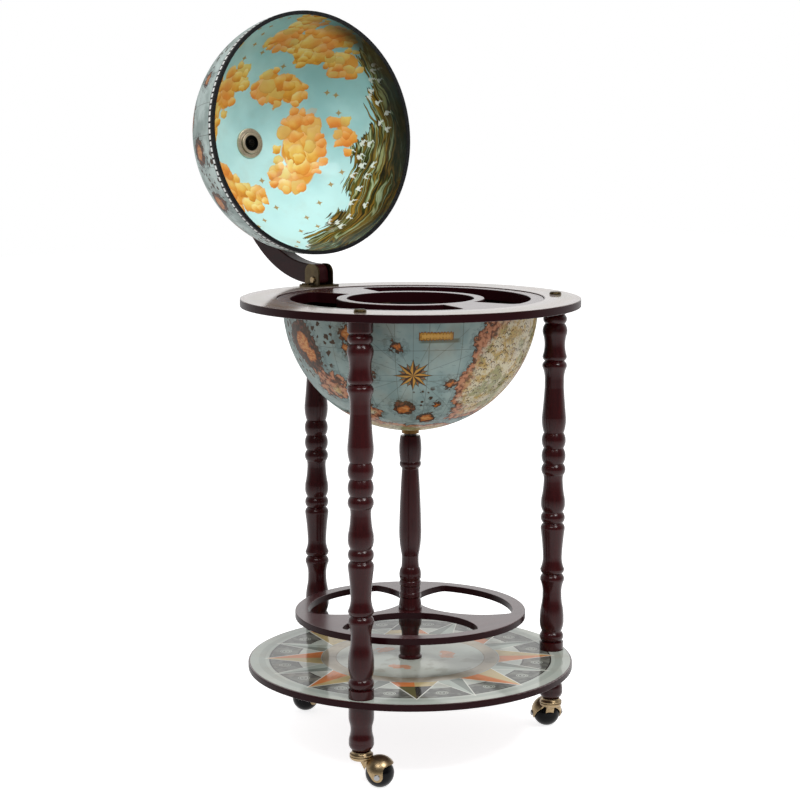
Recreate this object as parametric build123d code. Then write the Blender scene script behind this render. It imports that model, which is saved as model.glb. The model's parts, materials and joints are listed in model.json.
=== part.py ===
from build123d import *
import os
from math import cos, radians, sin, sqrt, tan

os.makedirs("parts", exist_ok=True)

# Globe bar trolley. A hinged globe opens over a round bar tray that hangs in a horizon ring.
# Three turned legs carry the ring above a round shelf, which rolls on three hooded ball casters.
# Frame: origin on the floor, on the stand's vertical axis. +Z is up and the lid's hinge is at +Y.
# The lid is modelled open. All lengths are in millimetres, and all angles are in degrees.
# The globe's radius sets the ring, tray, hinge, legs, shelf and bottle ring around it.

# Clearances
seat_gap = 0.02          # between fixed pieces that fill each other's holes
running_gap = 0.05       # round a pin or stem that turns
swing_gap = 0.4          # between faces that move past each other
drop_in_gap = 0.4        # round the tray in its ring
bolt_gap = 0.3           # round a bolt in a clearance hole
cut_past = 1.0           # how far a cut runs past the face that it opens

# Globe
globe_radius = 168.7
shell_thickness = 3.2
bowl_drop = 7.4
rim_strip_width = 5.2
rim_strip_height = 2.8

# Heights above the floor, and of the bottle ring above the shelf
shelf_top = 115.0
bottle_ring_rise = 68.0
ring_top = 605.0

# Horizon ring and its printed top
ring_gap = 8.0
ring_width = 48.3
ring_thickness = 10.2
ring_edge_round = 1.2
print_thickness = 0.4
print_margin = 1.2

# Bar tray: an outer band, two crescent openings, and a round well inside its rim
tray_thickness = 14.0
tray_drop = 0.6
tray_band = 17.6
crescent_count = 2
crescent_width = 60.7
crescent_corner = 11.0
bridge_span = 32.0
well_rim = 14.0
tray_edge_round = 1.0

# Lid hinge, and the arm that carries the lid by its pole
pin_inset = 21.7
hinge_height = 9.4
open_angle = 96.0
arm_width = 20.0
arm_gap = 13.1
arm_depth = 28.0
arm_overhang = 15.0
arm_edge_round = 2.0
arm_toe_round = 14.0
pin_radius = 3.0
pin_head_radius = 4.8
pin_head_height = 2.2
pin_nut_radius = 5.4
pin_nut_height = 3.6
pin_end = 1.0
plate_thickness = 2.2
plate_inner_reach = 13.0
plate_outer_reach = 19.5
plate_flange = 11.0
plate_corner = 3.0
ear_thickness = 2.4
ear_height = 31.0
ear_corner_share = 0.4
flange_screw_radius = 1.7
flange_screw_head_radius = 3.2
flange_screw_head_height = 1.6
flange_screw_length = 8.0
flange_screw_reaches = (5.5, 14.5)
screw_dome_share = 0.7

# Bolted joint at the lid's pole
pole_bolt_radius = 2.0
pole_spacer_radius = 12.0
boss_radius = 21.5
boss_step_radius = 15.5
boss_dish_radius = 11.0
boss_rim_height = 3.4
boss_step_height = 6.4
boss_dish_floor = 3.0
pole_head_radius = 5.2
pole_head_height = 3.4
pole_slot_width = 1.2
pole_slot_depth = 1.2
pole_washer_radius = 9.5
pole_washer_height = 1.5
pole_nut_radius = 4.6
pole_nut_height = 7.0

# Legs, and the screws that hold them
leg_inset = 26.4
leg_turn = 3.6
leg_names = ("back", "left", "right")
screw_radius = 3.8
screw_depth = 28.0
cap_radius = 8.0
cap_height = 3.6
sunk_head_radius = 7.0
sunk_head_height = 3.0

# Radii of the turned legs
block_radius = 16.3
bead_seat = 13.9
waist_radius = 13.1
belly_radius = 16.5
neck_radius = 13.7
taper_radius = 14.3
shoulder_radius = 15.1
groove_radius = 13.3
groove_half = 0.8

# Shelf
shelf_margin = 20.5
shelf_thickness = 9.0
shelf_edge_round = 1.2

# Bottle ring: three round openings about a hub, cut off by one outer arc
bottle_ring_inset = 43.2
bottle_ring_thickness = 8.6
bottle_opening_inset = 43.5
bottle_hub_radius = 23.3
bottle_rim = 17.6
bottle_corner = 9.0
bottle_turn = -8.3

# Centre post and the bolt through the bowl's bottom
post_foot_radius = 15.8
post_shoulder_radius = 15.1
post_ring_radius = 14.5
post_collar_radius = 13.9
post_step_radius = 13.5
post_seat_radius = 13.3
post_bead_radius = 13.0
post_throat_radius = 12.1
post_waist_radius = 11.5
post_neck_radius = 11.3
post_top_radius = 8.4
post_screw_share = 0.475
post_dowel_share = 0.288
foot_washer_radius = 11.6
foot_washer_height = 5.0
bowl_bolt_radius = 2.9
bowl_washer_radius = 14.0
bowl_washer_height = 2.0
bowl_head_radius = 5.5
bowl_head_height = 3.0

# Casters
ball_radius = 18.4
ball_flat_depth = 0.9
trail_past_ball = 5.3
caster_angles = (185.7, -47.9, 61.7)
axle_radius = 2.5
rivet_radius = 3.7
rivet_height = 1.5
hood_rise = 2.4
hood_lead = 0.2
hood_gap = 1.2
hood_thickness = 1.3
hood_back_cut = 13.3
hood_back_round = 6.0
hood_front_reach = 15.7
lobe_radius = 7.2
lobe_rake = 55.0
swivel_radius = 15.1
swivel_rise = 16.8
swivel_height = 4.2
swivel_foot_inset = 2.4
swivel_bulge = 0.7
web_width = 11.0
web_back = 2.6
web_toe_rise = 3.6
socket_floor = 2.0
socket_height = 6.2
socket_ring_height = 3.4
socket_ring_bulge = 1.2
socket_neck_radius = 13.9
socket_neck_hollow = 0.4
socket_foot_inset = 1.0
socket_lip_radius = 12.1
socket_mouth_radius = 10.8
socket_seat_radius = 10.3
stem_radius = 4.1
stem_length = 26.0
sleeve_wall = 1.3

# Radii of the turned feet
foot_tip_radius = 9.8
foot_flare_radius = 10.2
foot_bulb_radius = 16.0
foot_shoulder_radius = 15.2
foot_waist_radius = 13.8
foot_cove_radius = 14.9

# Places that follow from the sizes above
ring_bore_radius = globe_radius + ring_gap
ring_radius = ring_bore_radius + ring_width
leg_circle = ring_radius - leg_inset
shelf_radius = leg_circle + shelf_margin
bottle_ring_radius = leg_circle - bottle_ring_inset
bottle_opening_place = bottle_ring_radius - bottle_opening_inset
bottle_opening_radius = bottle_opening_place - bottle_hub_radius
ring_bottom = ring_top - ring_thickness
ring_face = ring_top + print_thickness
shelf_bottom = shelf_top - shelf_thickness
shelf_face = shelf_top + print_thickness
tray_top = ring_top - tray_drop
tray_bottom = tray_top - tray_thickness
tray_radius = ring_bore_radius - drop_in_gap
crescent_outer_radius = tray_radius - tray_band
crescent_inner_radius = crescent_outer_radius - crescent_width
well_radius = crescent_inner_radius - well_rim
bottle_ring_top = shelf_top + bottle_ring_rise
bottle_ring_bottom = bottle_ring_top - bottle_ring_thickness
bowl_centre = ring_top - bowl_drop
bowl_bottom = bowl_centre - globe_radius
inner_radius = globe_radius - shell_thickness
arm_inner_radius = globe_radius + arm_gap
arm_outer_radius = arm_inner_radius + arm_depth
hinge_radius = arm_inner_radius + pin_inset
plate_inner_radius = hinge_radius - plate_inner_reach
plate_outer_radius = hinge_radius + plate_outer_reach
plate_top = ring_face + plate_thickness
hinge_z = ring_top + hinge_height
ear_inside = arm_width / 2 + swing_gap
ear_outside = ear_inside + ear_thickness
post_top = bowl_bottom - foot_washer_height
ball_flat = ball_radius - ball_flat_depth
caster_trail = ball_radius + trail_past_ball
swivel_bottom = ball_radius + swivel_rise
swivel_top = swivel_bottom + swivel_height
socket_bottom = swivel_top + swing_gap
foot_tip = socket_bottom + socket_floor
hood_inner_radius = ball_radius + hood_gap
hood_outer_radius = hood_inner_radius + hood_thickness
hood_centre = (caster_trail - hood_lead, ball_radius + hood_rise)

hinge_axis = Axis((0, hinge_radius, hinge_z), (1, 0, 0))
lid_centre = Location((0, 0, ring_top))
leg_angles = [90 + leg_turn + 120 * step for step in range(3)]
leg_places = [(leg_circle * cos(radians(a)), leg_circle * sin(radians(a))) for a in leg_angles]
back_place, left_place, right_place = leg_places


def rod(radius, low, high, place=(0, 0)):
    """Upright cylinder from one height to another."""
    centre = Location((place[0], place[1], (low + high) / 2))
    return centre * Cylinder(radius, high - low)


def cross_rod(radius, low, high, y, z):
    """Cylinder along X from one place to another."""
    return Location(((low + high) / 2, y, z)) * Rotation(0, 90, 0) * Cylinder(radius, high - low)


def turned(outline):
    """Solid turned about Z from a closed outline of radii and heights."""
    return revolve(make_face(Plane.XZ * (Curve() + outline)), Axis.Z)


def turning(bottom, top, first_radius, elements):
    """Turned solid. Each element is its height, its end radius and its bulge.

    The heights are stretched alike, so that the elements fill the solid from bottom to top.
    """
    stretch = (top - bottom) / sum(rise for rise, end_radius, bulge in elements)
    radius, height = first_radius, bottom
    outline = [Line((0, bottom), (first_radius, bottom))]
    for rise, end_radius, bulge in elements:
        start, end = (radius, height), (end_radius, height + rise * stretch)
        outline.append(SagittaArc(start, end, -bulge) if bulge else Line(start, end))
        radius, height = end
    outline.append(Line((radius, height), (0, height)))
    outline.append(Line((0, height), (0, bottom)))
    return turned(outline)


def plate(sketch, low, high):
    """Flat plate with a given outline, between two heights."""
    return extrude(Location((0, 0, low)) * sketch, high - low)


def rounded(solid, height, radius):
    """Rounds the edges that lie at one height."""
    edges = [edge for edge in solid.edges() if abs(edge.center().Z - height) < seat_gap]
    return fillet(edges, radius)


def drilled(solid, places, radius, low, high):
    """Drills the same upright hole at several places."""
    for place in places:
        solid -= rod(radius, low, high, place)
    return solid


def opened(piece):
    """Swings a piece of the closed lid up to where the lid stands open."""
    return (lid_centre * piece).rotate(hinge_axis, -open_angle)


def save(name, piece):
    piece.label = name
    export_step(piece, f"parts/{name}.step")


# Horizon ring, with a hole over each leg and a recess for the head under the hinge plate
screw_hole = screw_radius + bolt_gap
ring = plate(Circle(ring_radius) - Circle(ring_bore_radius), ring_bottom, ring_top)
ring = rounded(ring, ring_bottom, ring_edge_round)
ring = drilled(ring, leg_places, screw_hole, ring_bottom, ring_top)
ring -= rod(sunk_head_radius + bolt_gap, ring_top - sunk_head_height, ring_top, back_place)
flange_middle = ear_outside + plate_flange / 2
flange_places = [
    (side * flange_middle, hinge_radius + reach) for side in (-1, 1) for reach in flange_screw_reaches
]
flange_screw_end = plate_top - flange_screw_length
ring = drilled(ring, flange_places, flange_screw_radius + seat_gap, flange_screw_end, ring_top)
save("horizon_ring", ring)

ring_print_sketch = Circle(ring_radius - print_margin) - Circle(ring_bore_radius + print_margin)
ring_print = plate(ring_print_sketch, ring_top, ring_face)
ring_print = drilled(ring_print, leg_places, screw_hole, ring_top, ring_face)
ring_print = drilled(ring_print, flange_places, flange_screw_radius + seat_gap, ring_top, ring_face)
save("ring_print", ring_print)


def crescent():
    """Opening for glasses, between the well's rim and the tray's band."""
    half_span = (360 / crescent_count - bridge_span) / 2
    far = 2 * tray_radius
    wedge = make_face(Polyline(
        (0, 0),
        (far * cos(radians(half_span)), -far * sin(radians(half_span))),
        (far, -far),
        (far, far),
        (far * cos(radians(half_span)), far * sin(radians(half_span))),
        (0, 0),
    ))
    shape = (Circle(crescent_outer_radius) - Circle(crescent_inner_radius)) & wedge
    outer_corners = shape.vertices().filter_by(
        lambda corner: Vector(corner).length > (crescent_inner_radius + crescent_outer_radius) / 2
    )
    return fillet(outer_corners, crescent_corner)


# Bar tray, with a round well and two crescent openings
tray = plate(Circle(tray_radius) - Circle(well_radius), tray_bottom, tray_top)
for step in range(crescent_count):
    turn = leg_turn + 360 * step / crescent_count
    tray -= plate(Rotation(0, 0, turn) * crescent(), tray_bottom, tray_top)
tray = rounded(tray, tray_top, tray_edge_round)
save("bar_tray", tray)


def globe_shell(lower, upper):
    """Hollow sphere about the origin, between two heights."""
    shell = Sphere(globe_radius) - Sphere(inner_radius)
    return shell & rod(globe_radius + cut_past, lower, upper)


# Lower half of the globe, bolted to the post through its bottom
bowl_bolt_hole = bowl_bolt_radius + seat_gap
bowl = globe_shell(-globe_radius - cut_past, tray_bottom - bowl_centre)
bowl = Location((0, 0, bowl_centre)) * bowl
bowl -= rod(bowl_bolt_hole, bowl_bottom - cut_past, bowl_bottom + shell_thickness + cut_past)
save("globe_bowl", bowl)

bowl_ball = Location((0, 0, bowl_centre)) * Sphere(globe_radius + seat_gap)
bowl_inside = Location((0, 0, bowl_centre)) * Sphere(inner_radius - seat_gap)
foot_washer = rod(foot_washer_radius, post_top, bowl_bottom + cut_past) - bowl_ball
foot_washer -= rod(bowl_bolt_hole, post_top, bowl_bottom + cut_past)
save("bowl_foot_washer", foot_washer)

bowl_floor = bowl_centre - inner_radius
washer_edge = bowl_centre - sqrt(inner_radius ** 2 - bowl_washer_radius ** 2)
washer_top = washer_edge + bowl_washer_height
bowl_washer = rod(bowl_washer_radius, bowl_floor, washer_top) & bowl_inside
bowl_washer -= rod(bowl_bolt_hole, bowl_floor, washer_top)
save("bowl_inner_washer", bowl_washer)

bowl_bolt = rod(bowl_bolt_radius, post_top - screw_depth, washer_top)
bowl_bolt += rod(bowl_head_radius, washer_top, washer_top + bowl_head_height)
save("bowl_bolt", bowl_bolt)

# Lid: the upper half of the globe, its rim strip, and the arm that carries it by its pole
rim_bottom = swing_gap - tray_drop
rim_top = rim_bottom + rim_strip_height
rim_strip = plate(Circle(globe_radius) - Circle(globe_radius - rim_strip_width), rim_bottom, rim_top)
save("lid_rim_strip", opened(rim_strip))

pole_bolt_hole = pole_bolt_radius + seat_gap
lid_shell = globe_shell(rim_top, globe_radius + cut_past)
lid_shell -= rod(pole_bolt_hole, inner_radius - cut_past, globe_radius + cut_past)
save("lid_shell", opened(lid_shell))

spacer_edge = globe_radius - cut_past
spacer = rod(pole_spacer_radius, spacer_edge, arm_inner_radius) - Sphere(globe_radius + seat_gap)
spacer &= Rotation(0, 90, 0) * Cylinder(arm_inner_radius, 2 * arm_width)
spacer -= rod(pole_bolt_hole, spacer_edge, arm_inner_radius)
save("lid_pole_spacer", opened(spacer))


def lid_arm():
    """Quarter arc from the hinge to just past the pole, in the lid's closed place."""
    arc = Circle(arm_outer_radius) - Circle(arm_inner_radius)
    foot = plate_top + swing_gap - ring_top
    reach = arm_outer_radius + cut_past
    window = make_face(Polyline(
        (-arm_overhang, foot), (reach, foot), (reach, reach), (-arm_overhang, reach), (-arm_overhang, foot)
    ))
    side = arc & window
    heel = hinge_z - plate_top - swing_gap
    corner = make_face(Polyline(
        (hinge_radius, foot), (reach, foot), (reach, hinge_height), (hinge_radius, hinge_height),
        (hinge_radius, foot),
    ))
    side -= corner - Location((hinge_radius, hinge_height)) * Circle(heel)
    side = fillet(side.vertices().sort_by_distance((arm_inner_radius, foot))[0], arm_toe_round)
    body = extrude(Plane.YZ * side, arm_width / 2, both=True)
    long_edges = [edge for edge in body.edges() if edge.length > arm_outer_radius]
    return fillet(long_edges, arm_edge_round)


arm = lid_arm()
arm -= cross_rod(pin_radius + running_gap, -arm_width, arm_width, hinge_radius, hinge_height)
arm -= rod(pole_bolt_hole, arm_inner_radius - cut_past, arm_outer_radius + cut_past)
save("lid_arm", opened(arm))


def pole_boss():
    """Stepped and dished disc inside the lid, against the shell at its pole."""
    level = sqrt(inner_radius ** 2 - boss_radius ** 2)
    disc = rod(boss_radius, level - boss_rim_height, inner_radius)
    disc += rod(boss_step_radius, level - boss_step_height, level)
    disc = rounded(disc, level - boss_rim_height, boss_rim_height / 3)
    disc = rounded(disc, level - boss_step_height, (boss_step_height - boss_rim_height) / 3)
    disc -= rod(boss_dish_radius, level - boss_step_height - cut_past, level - boss_dish_floor)
    return (disc & Sphere(inner_radius - seat_gap)), level - boss_dish_floor


boss, dish_floor = pole_boss()
boss -= rod(pole_bolt_hole, dish_floor - cut_past, inner_radius + cut_past)
save("lid_pole_boss", opened(boss))

arm_back = arm_outer_radius + pole_washer_height
pole_bolt = rod(pole_bolt_radius, dish_floor, arm_back + pole_nut_height / 2)
pole_head = rod(pole_head_radius, dish_floor - pole_head_height, dish_floor)
pole_head = rounded(pole_head, dish_floor - pole_head_height, pole_head_height / 2)
slot_centre = Location((0, 0, dish_floor - pole_head_height + pole_slot_depth / 2))
pole_head -= slot_centre * Box(2 * pole_head_radius, pole_slot_width, pole_slot_depth)
save("lid_pole_bolt", opened(pole_bolt + pole_head))

arm_face = sqrt(arm_outer_radius ** 2 - pole_washer_radius ** 2)
pole_washer = rod(pole_washer_radius, arm_face, arm_back)
pole_washer -= Rotation(0, 90, 0) * Cylinder(arm_outer_radius, 2 * arm_width)
pole_washer -= rod(pole_bolt_hole, arm_face, arm_back)
save("lid_pole_washer", opened(pole_washer))

pole_nut = rod(pole_nut_radius, arm_back, arm_back + pole_nut_height)
pole_nut = rounded(pole_nut, arm_back + pole_nut_height, pole_nut_radius / 2)
pole_nut -= rod(pole_bolt_hole, arm_back, arm_back + pole_nut_height / 2 + seat_gap)
save("lid_pole_nut", opened(pole_nut))


def hinge_bracket():
    """Bent plate: a flat base with an upright ear on each side of the arm."""
    length = plate_outer_radius - plate_inner_radius
    middle = (plate_outer_radius + plate_inner_radius) / 2
    base_width = 2 * (ear_outside + plate_flange)
    base = Location((0, middle)) * RectangleRounded(base_width, length, plate_corner)
    bracket = plate(base, ring_face, plate_top)
    bottom = ring_face - ring_top
    ear = Location((middle, bottom + ear_height / 2)) * Rectangle(length, ear_height)
    top_corners = ear.vertices().filter_by(lambda corner: Vector(corner).Y > bottom + ear_height / 2)
    ear = fillet(top_corners, ear_corner_share * length)
    for side in (-1, 1):
        start = ear_inside if side > 0 else -ear_outside
        bracket += Location((start, 0, ring_top)) * extrude(Plane.YZ * ear, ear_thickness)
    bracket -= cross_rod(pin_radius + seat_gap, -2 * ear_outside, 2 * ear_outside, hinge_radius, hinge_z)
    return drilled(bracket, flange_places, flange_screw_radius + seat_gap, ring_face, plate_top)


save("hinge_bracket", hinge_bracket())

pin_tip = ear_outside + pin_nut_height + pin_end
hinge_pin = cross_rod(pin_radius, -ear_outside, pin_tip, hinge_radius, hinge_z)
pin_head = cross_rod(pin_head_radius, -ear_outside - pin_head_height, -ear_outside, hinge_radius, hinge_z)
head_rim = pin_head.edges().sort_by(Axis.X)[0]
save("hinge_pin", hinge_pin + fillet(head_rim, pin_head_height / 2))

nut_place = Location((ear_outside, hinge_radius, hinge_z))
pin_nut = nut_place * extrude(Plane.YZ * RegularPolygon(pin_nut_radius, 6), pin_nut_height)
pin_nut -= cross_rod(pin_radius + seat_gap, 0, pin_tip, hinge_radius, hinge_z)
save("hinge_pin_nut", pin_nut)


def round_screw(shank_radius, head_radius, head_height, seat, end, place):
    """Screw whose domed head stands on a face and whose shank ends at a lower height."""
    head = rod(head_radius, seat, seat + head_height)
    head = rounded(head, seat + head_height, screw_dome_share * head_height)
    return Location((place[0], place[1], 0)) * (head + rod(shank_radius, end, seat))


flange_screws = [
    round_screw(flange_screw_radius, flange_screw_head_radius, flange_screw_head_height,
                plate_top, flange_screw_end, place)
    for place in flange_places
]
save("hinge_screws", Compound(children=flange_screws))

leg_screw_end = ring_bottom - screw_depth
cap_screws = [
    round_screw(screw_radius, cap_radius, cap_height, ring_face, leg_screw_end, place)
    for place in (left_place, right_place)
]
save("ring_cap_screws", Compound(children=cap_screws))

sunk_screw = rod(screw_radius, leg_screw_end, ring_top - sunk_head_height, back_place)
sunk_screw += rod(sunk_head_radius, ring_top - sunk_head_height, ring_top, back_place)
save("hinge_leg_screw", sunk_screw)

# Shelf, with a hole under each leg and one under the post
shelf_holes = leg_places + [(0, 0)]
shelf = plate(Circle(shelf_radius), shelf_bottom, shelf_top)
shelf = rounded(shelf, shelf_top, shelf_edge_round)
shelf = rounded(shelf, shelf_bottom, shelf_edge_round)
save("shelf", drilled(shelf, shelf_holes, screw_hole, shelf_bottom, shelf_top))

shelf_print = plate(Circle(shelf_radius - shelf_edge_round - print_margin), shelf_top, shelf_face)
save("shelf_print", drilled(shelf_print, shelf_holes, screw_hole, shelf_top, shelf_face))

# Elements of the turned legs, each with its height, end radius and bulge
groove_up = (groove_half, bead_seat, 0)
groove = ((groove_half, groove_radius, 0), groove_up)
base_block = ((11.2, block_radius, 0),)
foot_bead = ((12.4, neck_radius, 2.5), (1.6, neck_radius, 0))
low_belly = ((16.5, belly_radius, 1.0), (21.0, taper_radius, 0.6), (14.0, waist_radius, -0.4))
low_cove = ((19.5, belly_radius, -1.2), (8.0, bead_seat, 1.0))
hourglass = (
    (6.0, belly_radius, 0.8), (17.0, waist_radius, -1.0), (38.0, belly_radius, -0.5), (8.0, bead_seat, 1.1),
)
round_bead = ((14.0, neck_radius, 2.7), (1.2, neck_radius, 0))
middle_belly = (
    (12.5, belly_radius, 1.0), (10.5, shoulder_radius, 0.4), (19.0, waist_radius, -0.3), (9.0, bead_seat, -0.4),
)
thin_bead = ((14.5, bead_seat, 2.6),)
barrel = ((19.6, bead_seat, 2.5),)
long_belly = ((20.0, belly_radius, 0.9), (41.0, waist_radius, -0.2), (12.0, waist_radius, 0))
high_cove = ((16.0, belly_radius, -0.9), (7.5, bead_seat, 1.2))
vase = ((5.5, belly_radius, 0.8), (31.0, belly_radius, -2.6), (12.5, bead_seat, 1.3))
top_bead = ((10.4, bead_seat, 2.2),)
top_block = ((3.5, block_radius, 0.7), (12.5, block_radius, 0))

leg_elements = [
    *base_block, *groove, *foot_bead, *low_belly, *low_cove, *groove, *hourglass, *groove, *round_bead,
    *middle_belly, *thin_bead, *groove, *barrel, *groove, *barrel, *groove, *long_belly, *high_cove,
    *groove, *vase, *groove, *top_bead, *groove, *top_block,
]

# Elements of the feet below the shelf, from the tip up
foot_elements = [
    (4.8, foot_flare_radius, 0),
    (11.2, foot_bulb_radius, 2.1),
    (7.5, foot_shoulder_radius, 0.35),
    (8.4, foot_waist_radius, -0.3),
    (8.0, foot_cove_radius, -0.35),
    (8.5, block_radius, 0.25),
    (15.0, block_radius, 0),
]

sleeve_radius = stem_radius + running_gap + sleeve_wall
sleeve_top = foot_tip + stem_length + swing_gap
dowel_low = shelf_bottom - screw_depth / 2
dowel_high = shelf_face + screw_depth

leg_dowels = []
for name, place in zip(leg_names, leg_places):
    here = Location((place[0], place[1], 0))
    leg = turning(shelf_face, ring_bottom, block_radius, leg_elements)
    leg -= rod(screw_radius + seat_gap, shelf_face, dowel_high)
    leg -= rod(screw_radius + seat_gap, leg_screw_end, ring_bottom)
    save(f"leg_{name}", here * leg)
    foot = turning(foot_tip, shelf_bottom, foot_tip_radius, foot_elements)
    foot -= rod(sleeve_radius + seat_gap, foot_tip, sleeve_top)
    foot -= rod(screw_radius + seat_gap, dowel_low, shelf_bottom)
    save(f"foot_{name}", here * foot)
    leg_dowels.append(here * rod(screw_radius, dowel_low, dowel_high))
save("leg_dowel_screws", Compound(children=leg_dowels))


def bottle_opening():
    """Round opening for a bottle, cut off by the outer rim's arc, with rounded corners."""
    hole = Location((bottle_opening_place, 0)) * Circle(bottle_opening_radius)
    hole &= Circle(bottle_ring_radius - bottle_rim)
    return fillet(hole.vertices(), bottle_corner)


# Bottle ring, held on the post between its two turned sections
bottle_outline = Circle(bottle_ring_radius) - Circle(screw_hole)
for step in range(3):
    bottle_outline -= Rotation(0, 0, bottle_turn + 120 * step) * bottle_opening()
bottle_ring = plate(bottle_outline, bottle_ring_bottom, bottle_ring_top)
bottle_ring = rounded(bottle_ring, bottle_ring_top, tray_edge_round)
save("bottle_ring", bottle_ring)

# Centre post: a short section under the bottle ring and a long one above it
low_post_elements = [
    (3.0, post_foot_radius, 0), (2.0, post_step_radius, 0), (16.0, post_bead_radius, 1.1),
    (11.0, post_waist_radius, -0.6), (14.0, post_shoulder_radius, -0.8), (13.0, post_foot_radius, 0.2),
]
low_post_height = bottle_ring_bottom - shelf_face
post_screw_top = shelf_face + post_screw_share * low_post_height
post_dowel_low = bottle_ring_bottom - post_dowel_share * low_post_height
post_dowel_high = bottle_ring_top + screw_depth
low_post = turning(shelf_face, bottle_ring_bottom, post_foot_radius, low_post_elements)
low_post -= rod(screw_radius + seat_gap, shelf_face, post_screw_top)
low_post -= rod(screw_radius + seat_gap, post_dowel_low, bottle_ring_bottom)
save("post_lower", low_post)

twin_ring = ((4.0, post_ring_radius, 0.6), (4.0, post_seat_radius, 0.6))
post_vase = ((18.0, post_throat_radius, 2.1), (16.0, post_waist_radius, -0.4))
long_taper = ((34.0, post_shoulder_radius, 0.9), (84.0, post_neck_radius, 0.5))
collar = ((3.6, post_step_radius, -0.3), (7.0, post_step_radius, 1.0), (2.0, post_collar_radius, 0))
post_cap = ((32.8, post_seat_radius, 1.4), (0.6, post_top_radius, 0), (2.9, post_top_radius, 0))
high_post_elements = [
    (16.0, post_seat_radius, 0.5), *twin_ring, (8.0, post_seat_radius, 0), *twin_ring,
    *post_vase, *long_taper, *collar, *post_cap,
]
high_post = turning(bottle_ring_top, post_top, post_foot_radius, high_post_elements)
high_post -= rod(screw_radius + seat_gap, bottle_ring_top, post_dowel_high)
high_post -= rod(bowl_bolt_hole, post_top - screw_depth, post_top)
save("post_upper", high_post)

save("post_dowel_screw", rod(screw_radius, post_dowel_low, post_dowel_high))

post_screw = rod(screw_radius, shelf_bottom, post_screw_top)
post_screw += rod(cap_radius, shelf_bottom - cap_height, shelf_bottom)
save("post_foot_screw", rounded(post_screw, shelf_bottom - cap_height, screw_dome_share * cap_height))


def caster_socket():
    """Fixed cup under a foot, with the sleeve that the stem turns in."""
    base_radius = swivel_radius - socket_foot_inset
    neck = (socket_neck_radius, socket_bottom + socket_ring_height)
    top = socket_bottom + socket_height
    outline = [
        Line((0, socket_bottom), (base_radius, socket_bottom)),
        SagittaArc((base_radius, socket_bottom), neck, -socket_ring_bulge),
        SagittaArc(neck, (socket_lip_radius, top), socket_neck_hollow),
        Line((socket_lip_radius, top), (socket_mouth_radius, top)),
        Line((socket_mouth_radius, top), (socket_seat_radius, foot_tip)),
        Line((socket_seat_radius, foot_tip), (0, foot_tip)),
        Line((0, foot_tip), (0, socket_bottom)),
    ]
    socket = turned(outline) + rod(sleeve_radius, foot_tip, sleeve_top)
    return socket - rod(stem_radius + running_gap, socket_bottom, sleeve_top)


def caster_hood():
    """Turning disc, web and spherical hood, with the wheel trailing along +X."""
    disc_foot = swivel_radius - swivel_foot_inset
    disc = turning(swivel_bottom, swivel_top, disc_foot, [(swivel_height, swivel_radius, swivel_bulge)])
    web_top = swivel_bottom + swivel_height / 2
    web_outline = make_face(Polyline(
        (-web_back, web_top), (disc_foot, web_top), hood_centre,
        (caster_trail - ball_radius, ball_radius + web_toe_rise), (-web_back, web_top),
    ))
    web = extrude(Plane.XZ * web_outline, web_width / 2, both=True)
    reach = hood_outer_radius + hood_rise + hood_lead + cut_past
    lobe_corner = (-lobe_radius * sin(radians(lobe_rake)), -lobe_radius * cos(radians(lobe_rake)))
    front_rise = lobe_corner[1] + (hood_front_reach + lobe_corner[0]) * tan(radians(lobe_rake))
    back_corner = Vector(lobe_radius, hood_back_cut)
    side_view = make_face(Polyline(
        (reach, hood_back_cut), back_corner, (lobe_radius, 0), (0, 0), lobe_corner,
        (-hood_front_reach, front_rise), (-hood_front_reach, reach),
        (reach, reach), (reach, hood_back_cut),
    ))
    side_view += Circle(lobe_radius)
    side_view = fillet(side_view.vertices().sort_by_distance(back_corner)[0], hood_back_round)
    wheel_centre = Location((caster_trail, 0, ball_radius))
    hood_place = Location((hood_centre[0], 0, hood_centre[1]))
    window = wheel_centre * extrude(Plane.XZ * side_view, reach, both=True)
    hood = hood_place * (Sphere(hood_outer_radius) - Sphere(hood_inner_radius)) & window
    body = disc + web + hood - wheel_centre * Sphere(ball_radius + hood_gap)
    body -= axle_rod(axle_radius + seat_gap, -reach, reach)
    return body - rod(stem_radius + seat_gap, swivel_bottom, swivel_top)


def axle_rod(radius, low, high):
    """Cylinder along Y on the wheel's axle."""
    middle = Location((caster_trail, (low + high) / 2, ball_radius))
    return middle * Rotation(90, 0, 0) * Cylinder(radius, high - low)


def caster_axle():
    """Axle with a round rivet head outside each lobe of the hood."""
    face = hood_outer_radius
    axle = axle_rod(axle_radius, -face, face)
    heads = axle_rod(rivet_radius, -face - rivet_height, -face)
    heads += axle_rod(rivet_radius, face, face + rivet_height)
    rims = [edge for edge in heads.edges() if abs(edge.center().Y) > face + rivet_height / 2
            and edge.geom_type == GeomType.CIRCLE]
    return axle + fillet(rims, rivet_height / 2)


def caster_ball():
    """Ball wheel with flattened sides."""
    ball = Location((caster_trail, 0, ball_radius)) * Sphere(ball_radius)
    ball &= Location((caster_trail, 0, ball_radius)) * Box(4 * ball_radius, 2 * ball_flat, 4 * ball_radius)
    return ball - axle_rod(axle_radius + running_gap, -ball_radius, ball_radius)


for name, place, angle in zip(leg_names, leg_places, caster_angles):
    here = Location((place[0], place[1], 0), (0, 0, angle))
    save(f"caster_socket_{name}", here * caster_socket())
    save(f"caster_hood_{name}", here * caster_hood())
    save(f"caster_stem_{name}", here * rod(stem_radius, swivel_bottom, foot_tip + stem_length))
    save(f"caster_axle_{name}", here * caster_axle())
    save(f"caster_ball_{name}", here * caster_ball())
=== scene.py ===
import json
import math

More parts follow.
